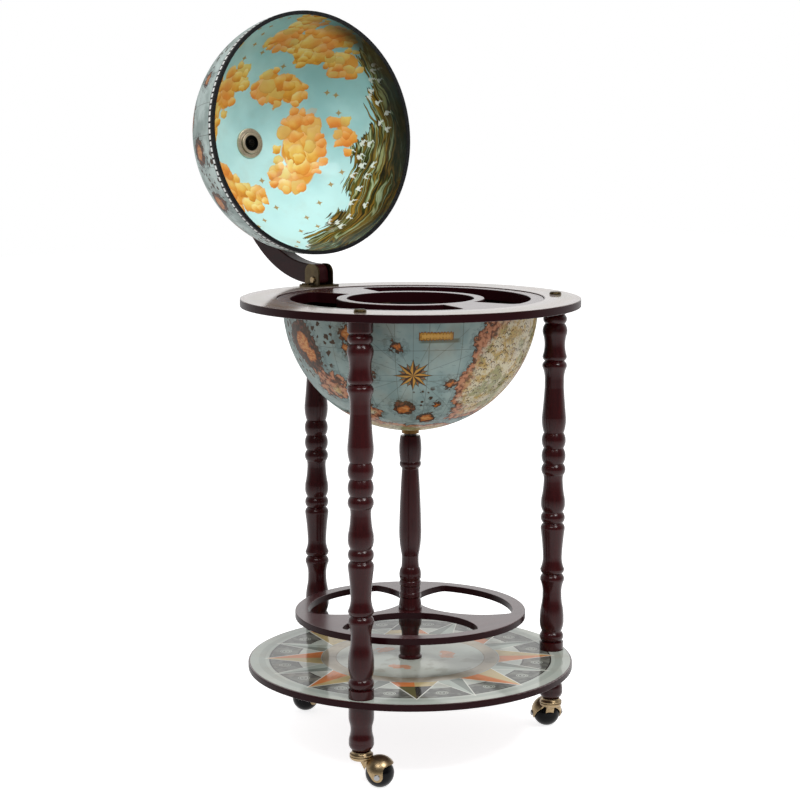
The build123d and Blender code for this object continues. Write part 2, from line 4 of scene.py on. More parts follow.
import bpy
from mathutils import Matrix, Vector


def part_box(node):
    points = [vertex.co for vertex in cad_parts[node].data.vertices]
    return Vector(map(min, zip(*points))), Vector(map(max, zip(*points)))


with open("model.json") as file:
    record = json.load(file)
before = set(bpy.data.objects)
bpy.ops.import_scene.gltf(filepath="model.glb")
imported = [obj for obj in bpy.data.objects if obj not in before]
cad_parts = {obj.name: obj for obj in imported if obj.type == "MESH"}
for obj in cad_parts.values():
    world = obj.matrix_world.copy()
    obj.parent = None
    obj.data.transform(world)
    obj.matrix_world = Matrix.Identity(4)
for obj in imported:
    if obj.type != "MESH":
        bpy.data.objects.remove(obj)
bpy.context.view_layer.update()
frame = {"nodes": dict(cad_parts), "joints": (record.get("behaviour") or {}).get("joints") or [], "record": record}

MM = 0.001

# Sizes and places read from the frame, in metres
ring_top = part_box("horizon_ring")[1]
globe_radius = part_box("lid_rim_strip")[1].x
bowl_centre = Vector((0, 0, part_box("globe_bowl")[0].z + globe_radius))
lid_centre = Vector((0, 0, ring_top.z))
hinge = next(joint for joint in frame["joints"] if joint["name"] == "lid_hinge")
lid_opening = math.radians(hinge["range_deg"][1])

# Sizes of the solids under the prints and the plating, in metres
SHELL_THICKNESS = 3.2 * MM
BOSS_DISH_RADIUS = 11.3 * MM
BOSS_STEP_RADIUS = 15.8 * MM
print_middle = globe_radius - SHELL_THICKNESS / 2

# Camera, fitted to the ring, the shelf and the bottle ring
CAMERA_PLACE = (-1.6338, -2.0710, 0.8631)
CAMERA_PITCH = 81.478
CAMERA_HEADING = -37.97
FOCAL_PIXELS = 2003.14
FRAME_PIXELS = 800
SENSOR = 36.0

# Dark side of the studio, as gloss shows it
STUDIO_FRONT = (-0.6, -0.75, 0.28)
STUDIO_DARKNESS = 0.85

# Floor and world: half the floor's width in metres, its shade, and how much each of them glows
FLOOR_REACH = 8.0
FLOOR_SHADE = (0.86, 0.86, 0.86, 1)
FLOOR_GLOW = 0.8
WORLD_GLOW = 0.5

# Lamps: name, place, width and height in metres, and power in watts. All point at one target.
LAMP_TARGET = (0, 0.05, 0.55)
LAMPS = (
    ("key", (0.05, -1.9, 2.1), (0.42, 0.42), 14),
    ("strip_left", (-1.8, -1.3, 2.6), (1.3, 0.6), 27),
    ("strip_right", (0.2, -1.9, 2.8), (1.3, 0.6), 27),
)


def colour(red, green, blue):
    """Linear colour with alpha, from 8-bit sRGB values."""
    def linear(value):
        value /= 255
        return value / 12.92 if value <= 0.04045 else ((value + 0.055) / 1.055) ** 2.4
    return (linear(red), linear(green), linear(blue), 1.0)


# Node graphs ------------------------------------------------------------------------------------

def add_node(tree, kind, inputs, **settings):
    """Adds a node. Each input is a Field, which is linked, or a value, which is set."""
    node = tree.nodes.new(kind)
    for name, value in settings.items():
        setattr(node, name, value)
    for slot, value in inputs.items():
        if isinstance(value, Field):
            tree.links.new(value.socket, node.inputs[slot])
        else:
            node.inputs[slot].default_value = value
    return node


class Field:
    """A number, vector or colour that varies over a surface, as one socket of a node tree."""

    def __init__(self, tree, socket):
        self.tree = tree
        self.socket = socket

    def maths(self, operation, *others):
        inputs = dict(enumerate((self, *others)))
        node = add_node(self.tree, "ShaderNodeMath", inputs, operation=operation)
        return Field(self.tree, node.outputs[0])

    def vectors(self, operation, *others, output=0):
        inputs = dict(enumerate((self, *others)))
        node = add_node(self.tree, "ShaderNodeVectorMath", inputs, operation=operation)
        return Field(self.tree, node.outputs[output])

    def __add__(self, other):
        return self.maths("ADD", other)

    __radd__ = __add__

    def __sub__(self, other):
        return self.maths("SUBTRACT", other)

    def __rsub__(self, other):
        return self.maths("MULTIPLY_ADD", -1.0, other)

    def __mul__(self, other):
        return self.maths("MULTIPLY", other)

    __rmul__ = __mul__

    def __truediv__(self, other):
        return self.maths("DIVIDE", other)

    def __pow__(self, other):
        return self.maths("POWER", other)

    def absolute(self):
        return self.maths("ABSOLUTE")

    def sine(self):
        return self.maths("SINE")

    def smallest(self, other):
        return self.maths("MINIMUM", other)

    def largest(self, other):
        return self.maths("MAXIMUM", other)

    def repeat(self, period):
        """Wraps to 0..period."""
        return self.maths("FLOORED_MODULO", period)

    def fold(self, period):
        """Distance to the nearest multiple of period."""
        return (self + period / 2).repeat(period).maths("SUBTRACT", period / 2).absolute()

    def over(self, edge, soft):
        """1 where the number is above an edge and 0 below it, with a soft step."""
        inputs = {0: self, 1: edge - soft / 2, 2: edge + soft / 2}
        node = add_node(self.tree, "ShaderNodeMapRange", inputs, interpolation_type="SMOOTHSTEP")
        return Field(self.tree, node.outputs[0])

    def under(self, edge, soft):
        return 1 - self.over(edge, soft)

    def between(self, low, high, soft):
        return self.over(low, soft) * self.under(high, soft)

    def offset(self, vector):
        return self.vectors("SUBTRACT", vector)

    def stretched(self, vector):
        return self.vectors("MULTIPLY", vector)

    def distance(self, point):
        return self.vectors("DISTANCE", point, output=1)

    def length(self):
        return self.vectors("LENGTH", output=1)

    def direction(self):
        return self.vectors("NORMALIZE")

    def axes(self):
        node = add_node(self.tree, "ShaderNodeSeparateXYZ", {0: self})
        return [Field(self.tree, socket) for socket in node.outputs]


# Sockets of the colour mix node, which shares their names with its other data types
MIX_MASK, MIX_UNDER, MIX_OVER, MIX_RESULT = 0, 6, 7, 2


class Surface:
    """A material with one Principled shader, and the fields that feed it."""

    def __init__(self, name, **settings):
        self.material = bpy.data.materials.new(name)
        self.material.use_nodes = True
        self.tree = self.material.node_tree
        self.tree.nodes.clear()
        self.shader = self.tree.nodes.new("ShaderNodeBsdfPrincipled")
        output = self.tree.nodes.new("ShaderNodeOutputMaterial")
        self.tree.links.new(self.shader.outputs[0], output.inputs[0])
        self.set(**settings)

    def set(self, **sockets):
        for name, value in sockets.items():
            socket = self.shader.inputs[name.replace("_", " ")]
            if isinstance(value, Field):
                self.tree.links.new(value.socket, socket)
            else:
                socket.default_value = value

    def place(self):
        node = self.tree.nodes.new("ShaderNodeTexCoord")
        return Field(self.tree, node.outputs["Object"])

    def facing(self):
        """Direction that the unbumped surface faces, in the CAD's axes."""
        node = self.tree.nodes.new("ShaderNodeTexCoord")
        return Field(self.tree, node.outputs["Normal"])

    def noise(self, where, scale, detail=2.0, roughness=0.5, distortion=0.0):
        inputs = {"Vector": where, "Scale": scale, "Detail": detail}
        inputs.update({"Roughness": roughness, "Distortion": distortion})
        node = add_node(self.tree, "ShaderNodeTexNoise", inputs)
        return Field(self.tree, node.outputs[0])

    def scattered(self, where, size, jitter=0.8):
        """Scattered middles about one size apart on a plane, as seen from each place: the way to the
        nearest middle in sizes, where that middle is, and a random number of its own."""
        inputs = {"Vector": where, "Scale": 1 / size, "Randomness": jitter}
        node = add_node(self.tree, "ShaderNodeTexVoronoi", inputs, voronoi_dimensions="2D")
        middle = Field(self.tree, node.outputs["Position"])
        away = where.offset(middle).stretched((1 / size, 1 / size, 0))
        return away, middle, Field(self.tree, node.outputs["Color"]).axes()[0]

    def vector(self, x, y, z=0.0):
        node = add_node(self.tree, "ShaderNodeCombineXYZ", {0: x, 1: y, 2: z})
        return Field(self.tree, node.outputs[0])

    def paint(self, under, over, mask):
        """Lays one colour over another where the mask is 1."""
        inputs = {MIX_MASK: mask, MIX_UNDER: under, MIX_OVER: over}
        node = add_node(self.tree, "ShaderNodeMix", inputs, data_type="RGBA")
        return Field(self.tree, node.outputs[MIX_RESULT])

    def ramp(self, field, stops):
        """Colour that follows a number through several stops."""
        node = add_node(self.tree, "ShaderNodeValToRGB", {0: field})
        elements = node.color_ramp.elements
        elements.remove(elements[1])
        elements[0].position, elements[0].color = stops[0]
        for position, stop in stops[1:]:
            elements.new(position).color = stop
        return Field(self.tree, node.outputs[0])

    def bump(self, height, distance):
        """Raises the surface by a height field of 0..1 times a distance in metres."""
        node = add_node(self.tree, "ShaderNodeBump", {"Height": height, "Distance": distance})
        self.tree.links.new(node.outputs[0], self.shader.inputs["Normal"])


def grazing(surface):
    """0 where a surface is seen face on, rising to 1 at its outline."""
    node = add_node(surface.tree, "ShaderNodeLayerWeight", {"Blend": 0.5})
    return Field(surface.tree, node.outputs["Facing"])


def polar(surface, where):
    """Radius and angle in degrees about the vertical axis."""
    x, y = where.axes()[:2]
    radius = surface.vector(x, y).length()
    angle = y.maths("ARCTAN2", x).maths("DEGREES")
    return radius, angle


def polar_on_sphere(surface, ray):
    """Angle from the pole and angle round it, in degrees, of a direction. It wraps at the hinge."""
    x, y, z = ray.axes()
    from_pole = z.maths("ARCCOSINE").maths("DEGREES")
    round_pole = x.maths("ARCTAN2", y * -1.0).maths("DEGREES") - 90
    return from_pole, round_pole


def in_closed_lid(surface):
    """Place in metres from the globe's middle, as it is with the lid shut."""
    turn = add_node(surface.tree, "ShaderNodeVectorRotate",
                    {"Vector": surface.place(), "Center": hinge["pos_m"], "Angle": lid_opening},
                    rotation_type="X_AXIS")
    return Field(surface.tree, turn.outputs[0]).offset(lid_centre)


def star_points(radius, turn, tip, root, half_width):
    """Positive inside pointed rays: the turn is the angle in degrees from a ray's middle line."""
    turn = turn.maths("RADIANS")
    along, aside = radius * turn.maths("COSINE"), radius * turn.sine().absolute()
    return (tip - along) * (half_width / (tip - root)) - aside


# Finishes ---------------------------------------------------------------------------------------

def mahogany(name, along=(1, 1, 0.06), stain=(52, 8, 10), deep=(38, 6, 8), shine=1.0):
    """Stained hardwood under clear lacquer, with its grain along the axis that is scaled least."""
    wood = Surface(name, Specular_IOR_Level=0.02)
    wood.set(Coat_Weight=shine, Coat_IOR=1.32, Coat_Roughness=0.2)
    where = wood.place().stretched(along)
    grain = wood.noise(where, 420, detail=5, roughness=0.6, distortion=0.6)
    figure = wood.noise(where, 60, detail=3, distortion=1.2)
    pores = wood.noise(where, 1500, detail=1).under(0.38, 0.08)
    tone = wood.paint(colour(*deep), colour(*stain), (grain * 0.6 + figure * 0.5).over(0.52, 0.4))
    tone = wood.paint(tone, colour(26, 5, 8), pores * 0.2)
    wood.set(Base_Color=tone, Roughness=0.4 + grain * 0.1 - figure * 0.04)
    wood.bump(grain * 0.5 - pores, 0.00001)
    return wood, tone


def mahogany_board(name):
    """Board with thickly lacquered top and bottom faces, and side faces painted darker: partly stain taken darker
    by the grain, partly painted shade.
    """
    wood, tone = mahogany(name, along=(0.06, 1, 1), stain=(64, 16, 20), deep=(50, 12, 15))
    level = wood.facing().axes()[2].absolute().over(0.7, 0.3)
    # Side faces get a near-black red: partly darker stain, partly painted shade where they turn from the light.
    wood.set(Base_Color=wood.paint(colour(26, 6, 10), tone, level * 0.85 + 0.15))
    wood.set(Coat_Weight=level * 0.7 + 0.3, Specular_IOR_Level=level * 0.24 + 0.01)
    return wood


def patina(metal, where, bright, dark):
    """Colour of aged brass, brushed, clouded and flecked with dark specks, and its clouding alone."""
    cloud = metal.noise(where, 60, detail=3, roughness=0.5)
    rub = metal.noise(where.stretched((1, 1, 6)), 500, detail=3)
    tone = metal.paint(colour(*dark), colour(*bright), (cloud * 0.6 + rub * 0.5).over(0.55, 0.5))
    speck = metal.noise(where, 1800, detail=1).over(0.70, 0.05)
    metal.bump(rub + cloud, 0.00001)
    return metal.paint(tone, colour(44, 36, 27), speck * 0.4), cloud


def antique_brass(name, bright=(178, 156, 122), dark=(104, 86, 60), polish=0.27):
    """Aged brass. The lower its polish number, the sharper it shines."""
    metal = Surface(name, Metallic=1.0)
    tone, cloud = patina(metal, metal.place(), bright, dark)
    metal.set(Base_Color=tone, Roughness=polish + cloud * 0.12)
    return metal.material


def pole_boss_metal(name):
    """Pale rubbed brass, with a darker ring painted along its step and the blackened dish in its middle."""
    metal = Surface(name, Metallic=1.0)
    where = in_closed_lid(metal)
    tone, cloud = patina(metal, where, (238, 224, 200), (186, 168, 140))
    radius = where.stretched((1, 1, 0)).length()
    dish = radius.under(BOSS_DISH_RADIUS, 0.6 * MM)
    # A darker ring is painted along the step between the boss's levels.
    step_ring = (radius - BOSS_STEP_RADIUS).absolute().under(0.5 * MM, 0.8 * MM)
    tone = metal.paint(tone, colour(70, 58, 44), step_ring * 0.7)
    metal.set(Base_Color=metal.paint(tone, colour(20, 21, 19), dish), Roughness=0.3 + cloud * 0.12)
    return metal.material


def plated_steel(name):
    """Zinc-plated steel with fine brush marks."""
    metal = Surface(name, Metallic=1.0)
    where = metal.place()
    brushed = metal.noise(where.stretched((1, 1, 12)), 500, detail=3)
    tone = metal.paint(colour(112, 113, 116), colour(176, 177, 179), brushed)
    metal.set(Base_Color=tone, Roughness=0.22 + brushed * 0.16)
    metal.bump(brushed, 0.00002)
    return metal.material


def hard_rubber(name):
    """Glossy black wheel with a faint moulded texture and a little dust."""
    rubber = Surface(name, Specular_IOR_Level=0.12)
    where = rubber.place()
    dust = rubber.noise(where, 90, detail=4)
    tone = rubber.paint(colour(6, 6, 8), colour(24, 24, 26), dust.over(0.6, 0.3) * 0.5)
    rubber.set(Base_Color=tone, Roughness=0.14 + dust * 0.14)
    rubber.bump(rubber.noise(where, 900, detail=2), 0.00002)
    return rubber.material


def edging(name):
    """Black edging strip of the lid's rim."""
    strip = Surface(name, Specular_IOR_Level=0.1)
    grain = strip.noise(strip.place(), 700, detail=3)
    tone = strip.paint(colour(16, 17, 18), colour(40, 40, 41), grain.over(0.55, 0.3))
    strip.set(Base_Color=tone, Roughness=0.38 + grain * 0.2)
    strip.bump(grain, 0.00005)
    return strip.material


def lacquered_print(surface, picture, where, fade=0.25, gloss=0.07, depth=1.3, calm=0):
    """Finishes a printed picture with paper fibre, a little age, and gloss lacquer with a slight wave.

    The calmer it is, from 0 to 1, the less it shines at its outline."""
    fibre = surface.noise(where, 1800, detail=2)
    age = surface.noise(where, 22, detail=4, roughness=0.6)
    aged = surface.paint(picture, colour(150, 128, 96), age.over(0.62, 0.3) * fade)
    surface.set(Base_Color=aged, Roughness=0.6 + fibre * 0.15, Specular_IOR_Level=0.1 - calm * 0.1)
    shine = 1 - grazing(surface).over(0.7, 0.5) * calm
    surface.set(Coat_Weight=shine, Coat_IOR=depth, Coat_Roughness=gloss)
    surface.bump(surface.noise(where, 55, detail=1) + fibre * 0.05, 0.00010)


# Globe's printed pictures -----------------------------------------------------------------------

SEA = colour(150, 167, 163)
DEEP_SEA = colour(130, 151, 149)
PALE_SEA = colour(196, 212, 208)
INK = colour(58, 50, 44)
RUST = colour(134, 80, 58)
DARK_COAST = colour(66, 50, 38)
GOLD = colour(186, 134, 58)

# Degrees in a chord as long as the globe's radius, and how much the flat charts narrow the globe's width
CHORD_DEGREES = 57.3
CHART_SQUEEZE = 0.85
# Sizes and spacings on the maps, in degrees on the globe
GRID_STEP = 15.0
GORE_WIDTH = 30.0
HILL_STEP = 3.1
DOT_STEP = 1.3
WAVE_STEP = 2.4
ISLET_STEP = 3.4
# How far coarse and fine noise push the coasts about
LAND_SWAY, LAND_FRAY = 34, 6
ISLAND_SWAY, ISLAND_FRAY = 12, 7
ISLET_FRAY = 3
# Wind rose and blank tablet: the angles from the pole and round it, and the radius or half the sides
ROSE_PLACE, ROSE_SIZE = (117, -127), 7.5
ROSE_STEP = 45.0
TABLET_PLACE, TABLET_SIZE = (98.6, -117), (6.5, 1.5)

# Dashed scale band above the lid's rim, in degrees from the pole and round it
BAND_EDGE = 86.9
BAND_DASHES = (87.25, 88.75)
BAND_PERIOD = 360 / 130


def direction_at(from_pole, round_pole):
    """Unit vector at two angles in degrees."""
    tilt, turn = math.radians(from_pole), math.radians(round_pole)
    return (math.sin(tilt) * math.cos(turn), math.sin(tilt) * math.sin(turn), math.cos(tilt))


def inland_depth(ray, places):
    """Degrees inside the nearest of some round places, each its two angles and its radius."""
    depth = None
    for from_pole, round_pole, radius in places:
        chord = ray.distance(direction_at(from_pole, round_pole))
        near = chord.maths("MULTIPLY_ADD", -CHORD_DEGREES, radius)
        depth = near if depth is None else depth.largest(near)
    return depth


def land_tones(surface, ray, chart, depth):
    """Land as old maps colour it: a rust border, and cream, ochre and green washes with hills."""
    relief = surface.noise(ray, 11, detail=6, roughness=0.7)
    tone = surface.paint(colour(204, 194, 164), colour(184, 154, 92), relief.over(0.5, 0.14))
    meadow = surface.noise(ray, 5.5, detail=4).over(0.55, 0.08)
    tone = surface.paint(tone, colour(140, 144, 104), meadow * 0.75)
    chalk = surface.noise(ray, 8, detail=4).over(0.58, 0.1)
    tone = surface.paint(tone, colour(206, 196, 174), chalk * 0.8)
    river = (surface.noise(ray, 9, detail=3) - 0.5).absolute().under(0.006, 0.006)
    tone = surface.paint(tone, colour(84, 92, 84), river * 0.7)
    away, _, chance = surface.scattered(chart, HILL_STEP, jitter=1.0)
    hill = away.length().between(0.20, 0.34, 0.06) * away.axes()[1].under(0.02, 0.05)
    tone = surface.paint(tone, colour(72, 54, 38), hill * chance.over(0.3, 0.02) * 0.9)
    away, _, chance = surface.scattered(chart, DOT_STEP, jitter=1.0)
    dot = away.length().under(0.22, 0.08) * chance.over(0.6, 0.02)
    tone = surface.paint(tone, colour(120, 60, 44), dot * 0.7)
    mottle = surface.noise(ray, 26, detail=4)
    border = surface.paint(RUST, colour(186, 128, 96), mottle.over(0.5, 0.16))
    border = surface.paint(border, DARK_COAST, mottle.under(0.44, 0.06) * 0.7)
    return surface.paint(border, tone, depth.over(5.5, 5))


def sea_tones(surface, ray, chart, from_pole, round_pole, depth, fine, washes):
    """Clouded sea with a net of thin lines, small wave strokes, and hatching off the coasts."""
    tone = surface.paint(*washes, surface.noise(ray, 6, detail=5).over(0.5, 0.3))
    across = from_pole.fold(GRID_STEP).under(0.16, 0.12)
    lines = across.largest(round_pole.fold(GRID_STEP).under(0.18, 0.14))
    tone = surface.paint(tone, INK, lines * 0.4)
    away, _, chance = surface.scattered(chart, WAVE_STEP, jitter=0.9)
    x, y = away.axes()[:2]
    curve = (y - (x * 9).sine() * 0.05).absolute().under(0.035, 0.03)
    curve = curve * x.absolute().under(0.3, 0.03)
    tone = surface.paint(tone, INK, curve * chance.over(0.72, 0.02) * 0.5)
    hatch = depth.over(-2.6, 1.2) * (y * 6).repeat(1.0).under(0.5, 0.3) * fine.over(0.44, 0.1)
    return surface.paint(tone, colour(72, 84, 84), hatch * 0.7)


def from_mark(chart, place):
    """Way on the flat chart from a mark, which is placed by its two angles on the globe."""
    from_pole, round_pole = place
    return chart.offset((round_pole * CHART_SQUEEZE, from_pole, 0))


def compass_rose(surface, picture, chart):
    """Wind rose on the sea, with thin lines that run out from it."""
    size = ROSE_SIZE
    radius, angle = polar(surface, from_mark(chart, ROSE_PLACE))
    rhumb = (radius * angle.fold(ROSE_STEP / 2).maths("RADIANS")).under(0.14, 0.12)
    rhumb = rhumb * radius.between(size, size * 4, 1)
    picture = surface.paint(picture, INK, rhumb * 0.35)
    disc_radius = size * 0.66
    disc = radius.under(disc_radius, 0.2)
    picture = surface.paint(picture, colour(176, 170, 140), disc * 0.7)
    ring = (radius - disc_radius).absolute().under(0.16, 0.14)
    picture = surface.paint(picture, colour(84, 62, 40), ring)
    for turn, tip, tones in ((ROSE_STEP / 2, 0.8, (colour(150, 92, 56), colour(92, 104, 82))),
                             (0.0, 1.0, (colour(190, 138, 62), colour(70, 52, 38)))):
        side = (angle + turn + ROSE_STEP / 2).repeat(ROSE_STEP) - ROSE_STEP / 2
        points = star_points(radius, side, size * tip, size * 0.28, size * 0.17)
        picture = surface.paint(picture, INK, points.over(-0.2, 0.1))
        halves = surface.paint(*tones, side.over(0, 0.5))
        picture = surface.paint(picture, halves, points.over(0, 0.1))
    return picture


def cartouche(surface, picture, chart, fine):
    """Gilt tablet in a scrolled frame, left blank."""
    half_width, half_height = TABLET_SIZE
    x, y = from_mark(chart, TABLET_PLACE).axes()[:2]
    wave = (x * 2.6).sine().absolute() * 0.5 + (fine - 0.5) * 0.8
    edge = (half_width - x.absolute()).smallest(half_height + wave - y.absolute())
    shadow = (y - half_height - 0.6).absolute().under(0.9, 0.6)
    shadow = shadow * (x - 1.5).absolute().under(half_width + 1, 2)
    picture = surface.paint(picture, colour(78, 84, 70), shadow * 0.8)
    tone = surface.paint(colour(112, 70, 34), GOLD, edge.over(0.35, 0.3))
    tone = surface.paint(tone, colour(206, 160, 84), edge.over(1.1, 0.3))
    scroll = surface.scattered(chart, 0.9)[0].length().under(0.2, 0.1) * edge.under(1.2, 0.2)
    tone = surface.paint(tone, colour(92, 56, 32), scroll * 0.8)
    return surface.paint(picture, tone, edge.over(0, 0.2))


def globe_map(surface, ray, lands, islands, islets, washes):
    """Antique map: ragged coasts, islands inked round in dark brown, and a grey-green sea.

    It comes with its flat chart and with the fine noise that frays it."""
    rough = surface.noise(ray, 3.2, detail=6, roughness=0.62)
    fine = surface.noise(ray, 34, detail=4, roughness=0.6)
    from_pole, round_pole = polar_on_sphere(surface, ray)
    chart = surface.vector(round_pole * CHART_SQUEEZE, from_pole)
    mainland = inland_depth(ray, lands) + (rough - 0.5) * LAND_SWAY + (fine - 0.5) * LAND_FRAY
    away, _, chance = surface.scattered(chart, ISLET_STEP, jitter=1.0)
    islet = (chance * 0.45 - away.length()) * ISLET_STEP - 0.2 + (fine - 0.5) * ISLET_FRAY
    ragged = (rough - 0.5) * ISLAND_SWAY + (fine - 0.5) * ISLAND_FRAY
    island = inland_depth(ray, [place[:3] for place in islands]) + ragged
    core = inland_depth(ray, [(*place[:2], place[3]) for place in islands]) + ragged * 0.5
    depth = mainland.largest(island)
    picture = sea_tones(surface, ray, chart, from_pole, round_pole, depth, fine, washes)
    near = inland_depth(ray, islets).over(0, 4) * depth.under(-1.5, 1)
    picture = surface.paint(picture, DARK_COAST, islet.over(0, 0.3) * near)
    land = land_tones(surface, ray, chart, mainland)
    open_sea = mainland.under(0, 1)
    land = surface.paint(land, surface.paint(DARK_COAST, RUST, fine.over(0.56, 0.1) * 0.6), open_sea)
    land = surface.paint(land, colour(178, 104, 52), core.over(0, 0.8) * open_sea)
    streak = surface.noise(ray.stretched((1, 1, 3)), 26, detail=3).over(0.5, 0.1)
    land = surface.paint(land, colour(206, 148, 88), core.over(0.8, 0.8) * open_sea * streak)
    land = surface.paint(DARK_COAST, land, depth.over(0.8, 0.8))
    picture = surface.paint(picture, land, depth.over(0.0, 0.35))
    seam = round_pole.fold(GORE_WIDTH).under(0.10, 0.1)
    picture = surface.paint(picture, colour(96, 92, 84), seam * 0.35)
    return picture, chart, fine


# Rounds that make up the cloud banks inside the lid: the two angles and the radius. The flat picture
# of the lid's inside is measured in degrees from the lid's pole, and so is what lies on it.
CLOUD_BANKS = (
    (30, -8, 9), (31, 12, 11), (33, 34, 9), (27, 50, 6),
    (31, 100, 9), (30, 122, 10), (33, 144, 8),
    (30, -170, 8), (31, -148, 10), (29, -125, 9), (34, -106, 7),
    (30, -64, 9), (36, -47, 8),
    (62, -62, 12), (67, -42, 9), (59, -80, 9), (74, -58, 10), (78, -78, 9),
    (62, -122, 10), (66, -140, 8), (74, -118, 9),
    (52, -6, 5), (55, 4, 4), (58, 124, 7), (64, 138, 9), (60, 168, 9), (66, -174, 8),
)
# Directions on the flat picture, with the lid open
PICTURE_UP = (0.5, -0.87, 0)
PICTURE_RIGHT = (0.87, 0.5, 0)
PICTURE_LIGHT = (-0.26, -0.97, 0)
# Front of the sea: nearest to the pole at one angle round it, and further out by its lean at a spread
# to either side. Its strands tear it by so many degrees.
FRONT_TURN, FRONT_NEAREST = 30, 56
FRONT_SPREAD, FRONT_LEAN = 75, 26
FRONT_TEAR = 18
# The swell's long strands: how often they change in a degree out from the pole, and round it
STRANDS_OUTWARD, STRANDS_ROUND = 0.24, 0.026
# Spacings of the foam caps and of the small stars
CAP_STEP = 5.6
STAR_STEP = 8.5
# Room that the small stars leave to the clouds, to the sea's front and to the picture's middle
CLOUD_GAP, FRONT_GAP, BOSS_GAP = 3.5, 4, 19
# Layers of puffs: size, shift, least and greatest depth in a bank, and share that is kept. A layer's
# shift along the picture's second axis is smaller by the skew.
PUFF_SKEW = 0.6
PUFF_LAYERS = (
    (8.0, 0.0, (0.5, 40), 1.1), (10.5, 3.9, (1.5, 40), 0.8), (9.0, 9.3, (0.5, 40), 0.6),
    (6.4, 15.1, (-1.2, 40), 0.42), (4.6, 21.7, (-2.0, 1.8), 0.7),
)


def flat_place(from_pole, round_pole):
    """Place on the flat picture, from two angles."""
    turn = math.radians(round_pole)
    return (from_pole * math.cos(turn), from_pole * math.sin(turn), 0)


def inside_banks(place):
    """Degrees inside the cloud banks, of a place on the flat picture."""
    depth = None
    for from_pole, round_pole, radius in CLOUD_BANKS:
        near = radius - place.distance(flat_place(from_pole, round_pole))
        depth = near if depth is None else depth.largest(near)
    return depth


def puffs(surface, picture, flat, layer, warmth, grain):
    """Layer of whole round cloud puffs, lit from one side, with middles at some depths in a bank."""
    size, shift, depths, share = layer
    shift = (shift, shift * PUFF_SKEW, 0)
    away, middle, chance = surface.scattered(flat.offset(shift), size, jitter=0.45)
    middle = middle.vectors("ADD", shift)
    radius = away.length() + (grain - 0.5) * 0.12
    lit = away.vectors("DOT_PRODUCT", PICTURE_LIGHT, output=1)
    lit = lit + (chance - 0.5) * 0.35 + (grain - 0.5) * 0.5
    tone = surface.ramp(lit * 0.85 + 0.5, [
        (0.02, colour(204, 132, 46)), (0.26, colour(230, 168, 66)), (0.55, colour(242, 206, 108)),
        (0.90, colour(250, 234, 162)),
    ])
    tone = surface.paint(tone, colour(232, 122, 66), warmth * 0.5)
    lime = chance.repeat(0.25).over(0.19, 0.04)
    tone = surface.paint(tone, colour(214, 206, 120), lime * 0.4)
    tone = surface.paint(tone, colour(204, 124, 46), radius.over(0.49, 0.14) * 0.4)
    kept = inside_banks(middle).between(*depths, 0.1) * chance.under(share, 0.01)
    return surface.paint(picture, tone, radius.under(0.53, 0.05) * kept)


def past_front(surface, place):
    """Degrees past the sea's front, of a place on the flat picture."""
    from_pole, round_pole = polar(surface, place)
    lean = (round_pole - FRONT_TURN) / FRONT_SPREAD
    roll = (round_pole * 0.262).sine() * 2.5 + (round_pole * 0.11).sine() * 3
    return from_pole - lean * lean * FRONT_LEAN - FRONT_NEAREST + roll


def swell(surface, picture, flat, from_pole, round_pole, drift, ripple):
    """Rolling sea painted in long strands, with torn crests and caps of foam along its front."""
    roll = (round_pole * 0.13 + from_pole * 0.07).sine()
    across = from_pole * STRANDS_OUTWARD + drift * 3.0 + roll * 0.42
    along = round_pole * STRANDS_ROUND
    broad = surface.noise(surface.vector(across, along), 1.0, detail=1, distortion=0.35)
    strand = surface.noise(surface.vector(across * 3.2, along * 1.2), 1.0, detail=2, distortion=0.3)
    tone = surface.ramp(broad + (strand - 0.5) * 0.16, [
        (0.28, colour(24, 28, 20)), (0.36, colour(86, 78, 30)), (0.41, colour(150, 112, 40)),
        (0.45, colour(44, 46, 22)), (0.49, colour(84, 92, 42)), (0.525, colour(178, 194, 154)),
        (0.555, colour(72, 80, 40)), (0.60, colour(128, 102, 40)), (0.65, colour(34, 38, 24)),
        (0.72, colour(150, 160, 112)),
    ])
    tone = surface.paint(tone, colour(24, 26, 16), strand.under(0.42, 0.06) * 0.75)
    tone = surface.paint(tone, colour(176, 150, 70), strand.over(0.62, 0.08) * 0.4)
    torn = past_front(surface, flat) + (strand - 0.5) * FRONT_TEAR
    picture = surface.paint(picture, colour(52, 50, 26), torn.over(0, 0.6))
    picture = surface.paint(picture, tone, torn.over(1.0, 0.8))
    away, middle, chance = surface.scattered(flat, CAP_STEP, jitter=0.9)
    away = away.vectors("ADD", surface.vector(ripple - 0.5, strand - 0.5)).stretched((0.8, 1.2, 0))
    cap = away.length().under(0.38, 0.06) * away.offset((0.2, 0.1, 0)).length().over(0.28, 0.08)
    near = past_front(surface, middle).between(1, 13, 0.5) * chance.over(0.52, 0.02)
    return surface.paint(picture, colour(224, 232, 224), cap * near * 0.95)


def small_stars(surface, picture, flat):
    """Little four-pointed gold stars, scattered over the open sky."""
    away, middle, chance = surface.scattered(flat, STAR_STEP, jitter=0.9)
    x, y = away.axes()[:2]
    reach = x.absolute() ** 0.55 + y.absolute() ** 0.55
    open_sky = inside_banks(middle).under(-CLOUD_GAP, 0.1)
    open_sky = open_sky * past_front(surface, middle).under(-FRONT_GAP, 0.1)
    open_sky = open_sky * middle.length().over(BOSS_GAP, 0.1) * chance.over(0.45, 0.02)
    return surface.paint(picture, colour(168, 136, 66), reach.under(0.48, 0.06) * open_sky * 0.9)


